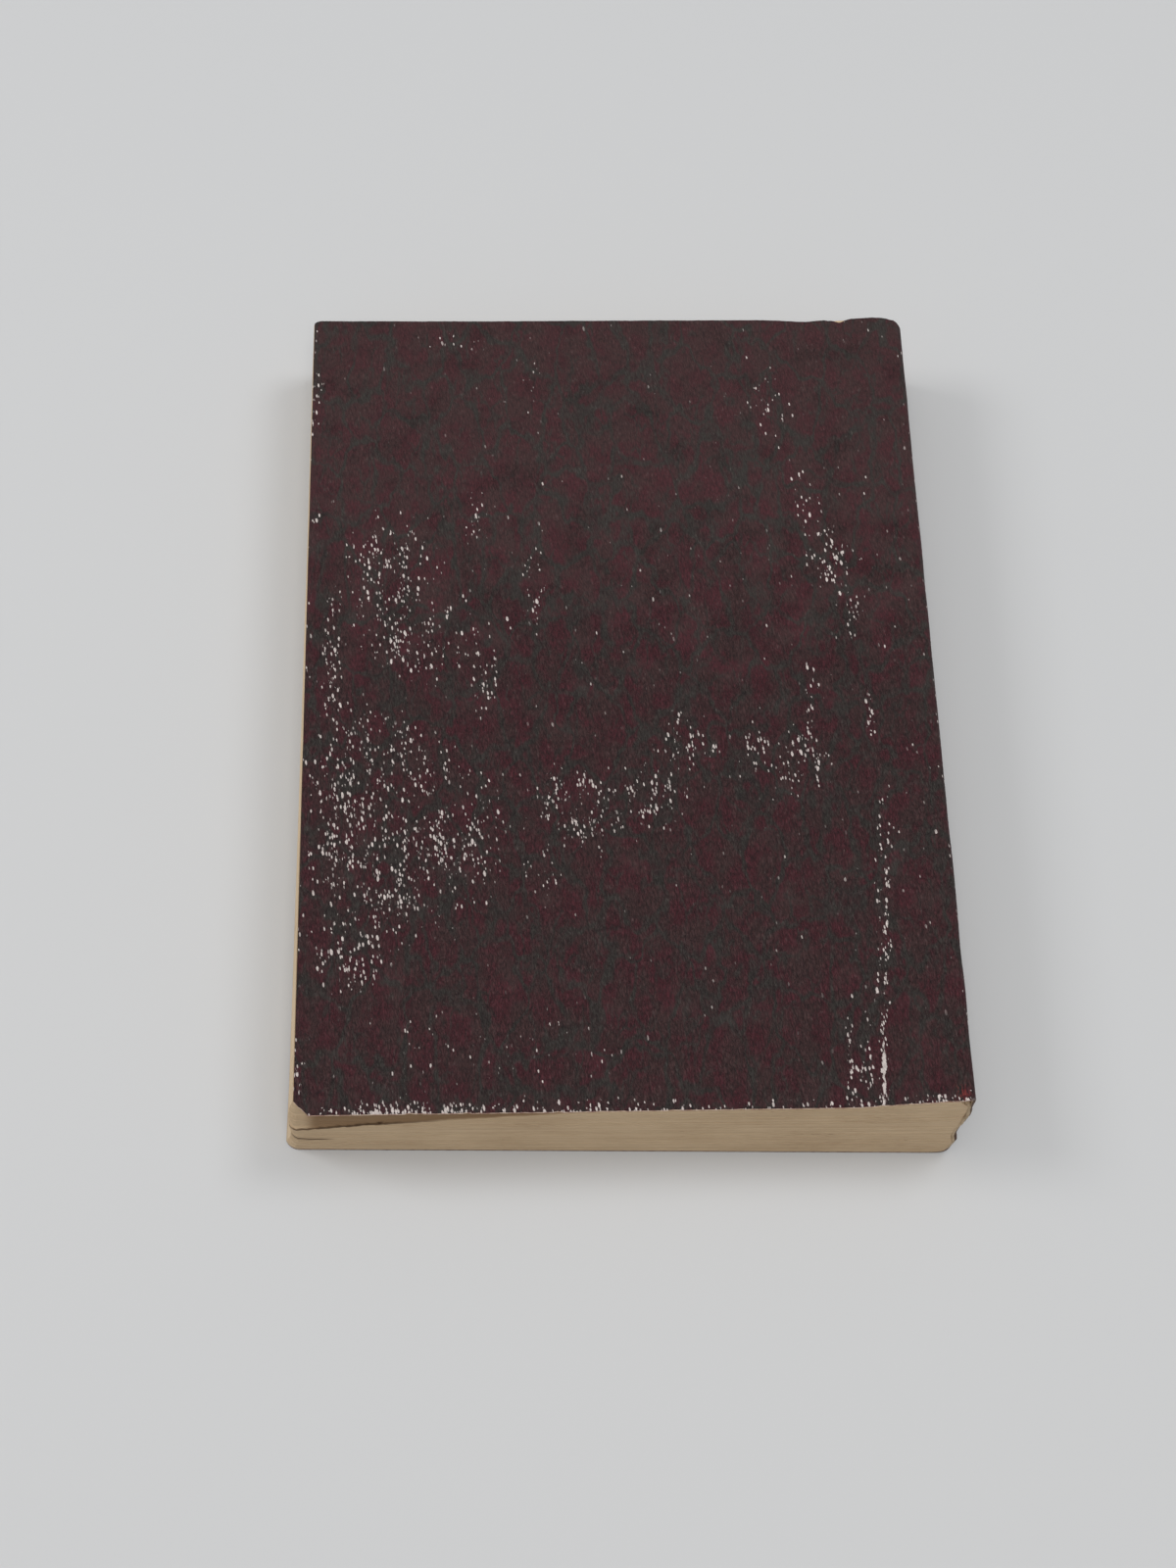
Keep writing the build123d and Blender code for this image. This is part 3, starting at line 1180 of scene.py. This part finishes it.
    def wear_at(self, across: float, along: float) -> float:
        """Share of the grains that have flaked: in the patches, on the folds and at the edges.

        Args:
            across: millimetres from the fore-edge along the sheet.
            along: millimetres from the tail.

        Returns:
            The share.
        """
        strongest = max(patch.at(across, along) for patch in self.patches)
        scattered = 0.008 + 0.008 * smooth_step(0.0, 60.0, along) * smooth_step(140.0, 90.0, along)
        folds = 0.30 * bump_at(across, 105.6, 0.9) + 0.22 * bump_at(across, 120.0, 1.2)
        edges = 0.25 * bump_at(along, 0.0, 0.6) + 0.20 * bump_at(across, 0.0, 0.5)
        return min(strongest + scattered + folds + edges, 1.0)

    @staticmethod
    def crack_at(across: float, along: float) -> float:
        """How strongly the print has cracked: along the crease, beside it and at the tail edge.

        Args:
            across: millimetres from the fore-edge along the sheet.
            along: millimetres from the tail.

        Returns:
            The strength.
        """
        line = 90.7 + 4.2 * min(along / 46.0, 1.4) + 0.5 * ripple(0.0, along * 0.13, 7.0)
        line += 0.35 * ripple(0.0, along * 0.75, 3.0)
        strength = 0.48 + 0.42 * smooth_step(13.0, 6.0, along) + 0.45 * ripple(1.0, along * 0.35)
        second = bump_at(across, line - 1.3, 0.45) * smooth_step(11.0, 15.0, along) * 0.42
        main = max(bump_at(across, line, 0.50) * strength, second) * smooth_step(60.0, 40.0, along)
        beside = bump_at(across, line - 5.0, 0.5) * smooth_step(24.0, 12.0, along) * 0.42
        beside += bump_at(across, line - 2.2, 0.5) * smooth_step(16.0, 6.0, along) * 0.40
        frayed = 0.34 * smooth_step(3.0, 7.0, across) * smooth_step(31.0, 22.0, across)
        frayed += 0.32 + 0.30 * smooth_step(95.0, 100.0, across)
        clumped = 0.80 + 0.9 * ripple(across * 0.35, 5.0)
        edge = frayed * clumped * smooth_step(1.9, 0.1, along)
        return min(max(main, beside, edge), 1.0)

    @staticmethod
    def rubbed_at(across: float, along: float) -> float:
        """How strongly the print has rubbed to red, in millimetres along the sheet and from the tail."""
        corner = math.hypot((across - 102.9) / 1.3, (along - 1.0) / 2.8)
        return smooth_step(1.2, 0.1, corner)


@dataclass
class FrontSheet(CoverSheet):
    """Front strip and front panel, which the book lies on."""

    def build(self) -> bpy.types.Object:
        """Lays the sheet flat under the block, from the fore-edge to the front fold.

        Returns:
            The finished sheet.
        """
        form = self.form
        crease, edge_band = self.crease_band, self.edge_band
        panel = form.crease_x + form.half_width - crease
        strip = form.leaf_width - form.front_fold_radius - self.tuck - panel - 2 * crease
        columns = spread([(edge_band, 10), (panel - edge_band, 58), (2 * crease, 20), (strip, 8)])
        mesh, places, (wear, rim_darkening) = self.flat(columns, spread([(1.0, 90)]), ("wear", "rim_darkening"))
        bmesh.ops.reverse_faces(mesh, faces=mesh.faces)
        flat_of = {}
        for vertex, (across, share) in places.items():
            x = across - form.half_width
            low, high = form.tail(x, 0.0), form.head(x, 0.0)
            y = low + (high - low) * share
            along = y + form.half_length
            edge = min(across, along, form.leaf_length - along) / MM
            vertex.co = form.place(x, y, 0.0)
            flat_of[vertex] = (-across, along)
            vertex[wear] = 0.03 + 0.30 * bump_at(edge, 0.0, 1.6) + 0.12 * bump_at(across / MM, 92.0, 1.4)
            # Painted shade on the whole cut edge of this sheet, which lies on the table.
            vertex[rim_darkening] = 0.8
        piece = self.finish(mesh, "front_cover_sheet", flat_of, -1.0)
        middle = form.place(form.crease_x, 0.0, 0.0)
        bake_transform(piece)
        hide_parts("front_cover")
        return piece


@dataclass
class SpineFilm(CoverSheet):
    """The dried adhesive between the leaves and the cover's spine, from fold to fold.

    Args:
        end_band: length of the finer rows at the tail.
        end_gap: how far it stays inside the cover at the tail and the head.
        clearance: how much thinner it is than its room.
        sunk_depth: how far it has sunk where the back fold has come loose.
    """

    end_band: float = 6.0 * MM
    end_gap: float = 0.05 * MM
    clearance: float = 0.04 * MM
    sunk_depth: float = 0.5 * MM

    def build(self) -> bpy.types.Object:
        """Bends a flat film behind the spine.

        Returns:
            The finished film.
        """
        form = self.form
        inset = form.cover_thickness + form.adhesive_thickness / 2
        back_arc, wall, front_arc = form.spine_spans(inset)
        columns = spread([(back_arc, 6), (wall, 30), (front_arc, 6)])
        end = self.end_band / form.leaf_length
        mesh, places, _ = self.flat(columns, spread([(end, 10), (1 - end, 90)]), ())
        flat_of = {}
        for vertex, (down, share) in places.items():
            x, z = form.spine_section(down, inset)
            low, high = form.tail(x, z) + self.end_gap, form.head(x, z) - self.end_gap
            y = low + (high - low) * share
            along = y + form.half_length
            near_top = smooth_step(form.stack_height - 0.6 * MM, form.stack_height, z)
            sunk = self.sunk_depth * form.loosened(along) * near_top
            vertex.co = form.place(x + form.crumple(along, z) - sunk, y, z - sunk)
            flat_of[vertex] = (down, along)
        piece = self.finish(mesh, "spine_film", flat_of, 0.0)
        solid = piece.modifiers["thickness"]
        solid.thickness = form.adhesive_thickness - self.clearance
        solid.material_offset = 0
        solid.material_offset_rim = 0
        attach(piece, "book_block")
        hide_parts("spine_adhesive")
        return piece


@dataclass
class LeafBlock:
    """The leaves, as one closed stack of thin steps.

    Args:
        form: sizes of the book.
        finish: material of the leaves.
        layers: how many gatherings of leaves show as steps.
        spacing: distance between the points round an outline.
        end_offsets: places of the closer points from each end of a side.
        end_clear: how far from an end the even points stay.
        notch_height: how far the gap lies below the top leaf at the fore-edge.
        notch_length: how far from the fore-edge the gap runs.
        notch_depth: how far the top leaves stand back from the tail.
        gap_curve: how steeply the gap rises from the fore-edge.
        notch_growth: how soon towards the fore-edge the notch is at its full depth.
        gap_step: share of the notch's depth that comes at once above the gap.
        fold_clearance: how far the top corner stays behind the back fold.
        loose_clearance: how much further it stays behind where the fold has come loose.
        unevenness: how far a layer may stand out.
        wander: how far an edge wanders along a layer.
        step_share: share of a layer's height before it steps to the next.
        below_cover: how far the top face stays under the cover.
        rim: width of the underside's painted rim.
    """

    form: BookForm
    finish: bpy.types.Material
    layers: int = 72
    spacing: float = 1.5 * MM
    end_offsets: tuple[float, ...] = (0.0, 0.25 * MM, 0.5 * MM, 0.8 * MM, 1.15 * MM)
    end_clear: float = 1.6 * MM
    notch_height: float = 6.4 * MM
    notch_length: float = 56.0 * MM
    notch_depth: float = 1.9 * MM
    gap_curve: float = 1.8
    notch_growth: float = 1.8
    gap_step: float = 0.28
    fold_clearance: float = 0.5 * MM
    loose_clearance: float = 1.5 * MM
    unevenness: float = 0.11 * MM
    wander: float = 0.05 * MM
    step_share: float = 0.8
    below_cover: float = 0.02 * MM
    rim: float = 0.15 * MM

    def shares(self, length: float) -> list[float]:
        """Places along one side of a leaf, closer together at its ends.

        Args:
            length: length of the side.

        Returns:
            The places, from -1 to just before 1.
        """
        cells = round(length / self.spacing)
        even = [2 * number / cells - 1 for number in range(cells)]
        near = [2 * offset / length for offset in self.end_offsets]
        middle = [share for share in even if abs(share) < 1 - 2 * self.end_clear / length]
        return [offset - 1 for offset in near] + middle + [1 - offset for offset in reversed(near[1:])]

    def outline(self) -> list[tuple[float, float, Side]]:
        """Places round a leaf.

        Returns:
            Shares from -1 to 1 across and along, and the side that each place is on.
        """
        wide, long = self.shares(self.form.leaf_width), self.shares(self.form.leaf_length)
        tail = [(share, -1.0, Side.TAIL) for share in wide]
        spine = [(1.0, share, Side.SPINE) for share in long]
        head = [(-share, 1.0, Side.HEAD) for share in wide]
        fore = [(-1.0, -share, Side.FORE) for share in long]
        return tail + spine + head + fore

    def height(self, x: float, y: float, share: float) -> float:
        """Height of a leaf at a place of it, for a share of the block's thickness."""
        thickness = self.form.cover_thickness
        return thickness + (self.form.top(x, y) - 2 * thickness) * share

    def gap_height(self, x: float) -> tuple[float, float, float]:
        """Level of the gap between the two groups of leaves, which closes towards the spine.

        Args:
            x: place across the leaf, from its middle to the spine.

        Returns:
            Height of the gap, height of the block's top, and how much of the gap's run is left.
        """
        run = max(1 - (x + self.form.half_width) / self.notch_length, 0.0)
        top = self.form.stack_height - self.form.cover_thickness
        return top - self.notch_height * run**self.gap_curve, top, run

    def notch(self, x: float, z: float) -> float:
        """How far the upper leaves stand back from the tail, above the gap.

        Args:
            x: place across the leaf, from its middle to the spine.
            z: height above the table.

        Returns:
            The distance, 0 below the gap.
        """
        gap, top, run = self.gap_height(x)
        if run <= 0 or z < gap:
            return 0.0
        step = self.gap_step * smooth_step(gap, gap + 0.25 * MM, z)
        slope = (1 - self.gap_step) * (z - gap) / max(top - gap, 0.01 * MM)
        return self.notch_depth * min(run * self.notch_growth, 1.0) * (step + slope)

    def paint(self, x: float, z: float, side: Side) -> tuple[float, float, float]:
        """Numbers that tell the finish where a place lies.

        Args:
            x: place across the leaf, from its middle to the spine.
            z: height above the table.
            side: side of the block.

        Returns:
            Millimetres above the gap, millimetres from the fore-edge, and 1 on the fore-edge.
        """
        gap, _, run = self.gap_height(x)
        if side not in (Side.TAIL, Side.FORE) or run <= 0:
            return UNPAINTED
        return (z - gap) / MM, (x + self.form.half_width) / MM, float(side == Side.FORE)

    def point(self, place: tuple[float, float, Side], share: float, nudge: Sequence[float]) -> tuple:
        """Place of one outline point in the row frame, and what is painted there.

        Args:
            place: the outline point.
            share: share of the block's thickness.
            nudge: how far this layer stands out at the tail, the fore-edge and the head.

        Returns:
            The point, and the numbers painted there.
        """
        form = self.form
        across, along, side = place
        x = across * form.half_width
        z = self.height(x, along * form.half_length, share)
        low = form.tail(x, z) + self.notch(x, z) + nudge[0]
        high = form.head(x, z) + nudge[2]
        y = low + (high - low) * (along + 1) / 2
        x = min(x, self.spine_end(y, z))
        if across < -0.99:
            x += nudge[1]
        wander = self.wander * ripple(x / MM * 0.12, y / MM * 0.12, z / MM * 3.0)
        if side == Side.TAIL:
            y += wander
        elif side == Side.FORE:
            x += wander
        return form.place(x, y, z), self.paint(x, z, side)

    def spine_end(self, y: float, z: float) -> float:
        """Where the leaves end at the spine: behind the film, rounded below and cut at the loose fold.

        Args:
            y: place along the leaf, from its middle to the head.
            z: height above the table.

        Returns:
            Place of the end across the leaf.
        """
        form = self.form
        inset = form.cover_thickness + form.adhesive_thickness
        along = y + form.half_length
        end = form.half_width - inset + form.crumple(along, z)
        radius = form.front_fold_radius - inset
        below = radius - (z - form.cover_thickness)
        if below > 0:
            end -= radius - math.sqrt(max(radius * radius - below * below, 0.0))
        corner = smooth_step(form.stack_height - 0.8 * MM, form.top(form.half_width), z)
        return end - (self.fold_clearance + self.loose_clearance * form.loosened(along)) * corner

    def build(self) -> bpy.types.Object:
        """Raises the block layer by layer from one leaf's outline.

        Returns:
            The finished block.
        """
        places = self.outline()
        mesh = bmesh.new()
        layers = [mesh.verts.layers.float.new(name) for name in ("above", "from_fore", "fore")]
        bmesh.ops.create_circle(mesh, cap_ends=True, segments=len(places), radius=1.0)
        ring = sorted(mesh.verts, key=lambda vertex: math.atan2(vertex.co.y, vertex.co.x) % (2 * math.pi))
        face = mesh.faces[:][0]
        if face.normal.z > 0:
            bmesh.ops.reverse_faces(mesh, faces=[face])
        levels = []
        for layer in range(self.layers):
            nudge = self.nudge(layer)
            levels.append((layer / self.layers, nudge))
            levels.append(((layer + self.step_share) / self.layers, nudge))
        levels.append((1.0, self.nudge(self.layers - 1)))
        self.settle(ring, places, levels[0], layers)
        edges = mesh.edges[:]
        for level in levels[1:]:
            made = bmesh.ops.extrude_edge_only(mesh, edges=edges)
            fresh = [item for item in made["geom"] if isinstance(item, bmesh.types.BMVert)]
            edges = self.top_edges(made, fresh)
            ring = self.follow(ring, fresh)
            self.settle(ring, places, level, layers)
        self.cap(mesh, ring, places, layers)
        self.plain_underside(mesh, face, layers)
        bmesh.ops.recalc_face_normals(mesh, faces=mesh.faces)
        piece = make_object(mesh, "leaf_block", [self.finish])
        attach(piece, "book_block")
        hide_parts("page_block")
        return piece

    @staticmethod
    def brush(vertex: bmesh.types.BMVert, layers: list, numbers: tuple) -> None:
        """Paints a vertex with one number for each layer."""
        for layer, number in zip(layers, numbers):
            vertex[layer] = number

    def plain_underside(self, mesh: bmesh.types.BMesh, face: bmesh.types.BMFace, layers: list) -> None:
        """Sets the underside in from its rim, so that what is painted on the rim stays there.

        Args:
            mesh: the block's mesh.
            face: its lowest face.
            layers: the painted layers.
        """
        bmesh.ops.inset_individual(mesh, faces=[face], thickness=self.rim)
        for vertex in face.verts:
            self.brush(vertex, layers, UNPAINTED)

    def cap(self, mesh: bmesh.types.BMesh, ring: list, places: list, layers: list) -> None:
        """Fills the top with a grid of faces that follows the crease and the swell.

        Args:
            mesh: the block's mesh.
            ring: vertices of its top rim.
            places: the outline points of the rim.
            layers: the painted layers.
        """
        rails = []
        for place, vertex, after in zip(places, ring, ring[1:] + ring[:1]):
            if place[2] in (Side.TAIL, Side.HEAD):
                rails.append(mesh.edges.get((vertex, after)))
        made = bmesh.ops.grid_fill(mesh, edges=rails)
        inside = {vertex for face in made["faces"] for vertex in face.verts} - set(ring)
        for vertex in inside:
            x, y = self.form.leaf_place(vertex.co)
            vertex.co = self.form.place(x, y, self.height(x, y, 1.0) - self.below_cover)
            self.brush(vertex, layers, UNPAINTED)

    @staticmethod
    def top_edges(made: dict, fresh: list[bmesh.types.BMVert]) -> list[bmesh.types.BMEdge]:
        """Edges of the new rim that an extrusion has made.

        Args:
            made: what the extrusion returned.
            fresh: the vertices that it made.

        Returns:
            The edges that join two of those vertices.
        """
        new = set(fresh)
        edges = [item for item in made["geom"] if isinstance(item, bmesh.types.BMEdge)]
        return [edge for edge in edges if edge.verts[0] in new and edge.verts[1] in new]

    @staticmethod
    def follow(ring: list, fresh: list) -> list:
        """New vertices in the order of the ring that they were extruded from.

        Args:
            ring: the vertices below.
            fresh: the vertices that the extrusion made.

        Returns:
            The new ring.
        """
        new = set(fresh)
        ends = ([edge.other_vert(vertex) for edge in vertex.link_edges] for vertex in ring)
        return [next(end for end in around if end in new) for around in ends]

    def settle(self, ring: list, places: list, level: tuple, layers: list) -> None:
        """Moves a ring of vertices to its level and paints it.

        Args:
            ring: the vertices.
            places: the outline points.
            level: share of the block's thickness, and how far this layer stands out.
            layers: the painted layers.
        """
        share, nudge = level
        for vertex, place in zip(ring, places):
            vertex.co, paint = self.point(place, share, nudge)
            self.brush(vertex, layers, paint)

    def nudge(self, layer: int) -> tuple[float, float, float]:
        """How far a layer stands out at the tail, the fore-edge and the head."""
        return tuple(self.unevenness * ripple(layer * 0.63, 10.0 * side, 0.5) for side in range(3))


@dataclass(frozen=True)
class Studio:
    """Floor, lights and the camera at the photograph's viewing angle.

    Args:
        focal_pixels: focal length in pixels of the frame.
        frame_height: height of the frame in pixels.
        pitch, roll, yaw: directions of the camera in degrees.
        eye: place of the camera.
        floor_reach: half of the floor's side.
        floor_colour: colour of the floor.
        sky, sky_strength: colour and strength of the light from all round.
    """

    focal_pixels: float = 2600.0
    frame_height: float = 1600.0
    pitch: float = 63.651
    roll: float = -3.590
    yaw: float = 3.448
    eye: tuple[float, float, float] = (-16.536 * MM, -202.431 * MM, 388.035 * MM)
    floor_reach: float = 8.0
    floor_colour: tuple = (0.628, 0.636, 0.645, 1.0)
    sky: tuple = (0.97, 0.98, 1.0, 1.0)
    sky_strength: float = 0.37

    def camera(self) -> None:
        """Makes the camera."""
        pitch, roll, yaw = (math.radians(value) for value in (self.pitch, self.roll, self.yaw))
        ahead = Vector((math.sin(yaw) * math.cos(pitch), math.cos(yaw) * math.cos(pitch), -math.sin(pitch)))
        level = Vector((math.cos(yaw), -math.sin(yaw), 0.0))
        below = ahead.cross(level)
        right = math.cos(roll) * level + math.sin(roll) * below
        down = math.cos(roll) * below - math.sin(roll) * level
        data = bpy.data.cameras.new("camera")
        data.sensor_width = 36.0
        data.lens = data.sensor_width * self.focal_pixels / self.frame_height
        data.clip_start = 0.01
        data.clip_end = 20.0
        camera = bpy.data.objects.new("camera", data)
        turn = Matrix((right, -down, -ahead)).transposed().to_4x4()
        camera.matrix_world = Matrix.Translation(Vector(self.eye)) @ turn
        bpy.context.scene.collection.objects.link(camera)
        bpy.context.scene.camera = camera

    def floor(self) -> None:
        """Makes the plain pale floor."""
        mesh = bmesh.new()
        bmesh.ops.create_grid(mesh, x_segments=1, y_segments=1, size=self.floor_reach)
        shader = Shader("pale_floor", 0.9, 0.1)
        shader.surface.inputs["Base Color"].default_value = self.floor_colour
        ground = make_object(mesh, "floor", [shader.material])

    @staticmethod
    def light(name: str, place: tuple, size: float, power: float, tint: tuple) -> None:
        """Makes one soft light that faces the book.

        Args:
            name: name of the light.
            place: where it hangs.
            size: side of its square.
            power: its power in watts.
            tint: its colour.
        """
        data = bpy.data.lights.new(name, "AREA")
        data.shape = "SQUARE"
        data.size = size
        data.energy = power
        data.color = tint
        lamp = bpy.data.objects.new(name, data)
        lamp.location = place
        lamp.rotation_mode = "QUATERNION"
        lamp.rotation_quaternion = (-Vector(place)).to_track_quat("-Z", "Y")
        bpy.context.scene.collection.objects.link(lamp)

    def lights(self) -> None:
        """Makes the soft window-like light from the far side and the fill."""
        world = bpy.data.worlds.new("studio")
        bpy.context.scene.world = world
        world.use_nodes = True
        sky = world.node_tree.nodes["Background"].inputs
        sky["Color"].default_value = self.sky
        sky["Strength"].default_value = self.sky_strength
        self.light("left_window", (-0.78, 0.20, 0.68), 0.35, 2.7, (0.99, 0.99, 0.99))
        self.light("right_window", (0.50, 0.30, 0.88), 0.40, 2.4, (0.99, 0.99, 0.99))
        self.light("overhead", (0.0, 0.10, 1.2), 1.0, 1.2, (1.0, 1.0, 1.0))
        self.light("near_fill", (0.0, -0.52, 1.10), 0.45, 3.8, (1.0, 0.965, 0.91))

    def build(self) -> None:
        """Makes the floor, the lights and the camera."""
        bpy.context.scene.view_settings.view_transform = "Standard"
        self.camera()
        self.floor()
        self.lights()


def write_sizes() -> None:
    """Updates the view layer.
    """
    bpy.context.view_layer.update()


def main() -> None:
    """Builds the book and its stage."""
    logging.basicConfig(level=logging.INFO)
    form = BookForm()
    Studio().build()
    leather = LeatheredSheet().make()
    finishes = [leather, CoverInside().make(), CutSheetEdge().make()]
    pieces = (
        BackSheet(form, finishes),
        FrontSheet(form, finishes),
        LeafBlock(form, LeafEdges().make()),
        SpineFilm(form, [DriedAdhesive().make()]),
    )
    for maker in pieces:
        piece = maker.build()
        log.info("built %s with %d faces", piece.name, len(piece.data.polygons))
    write_sizes()


if __name__ == "__main__":
    main()
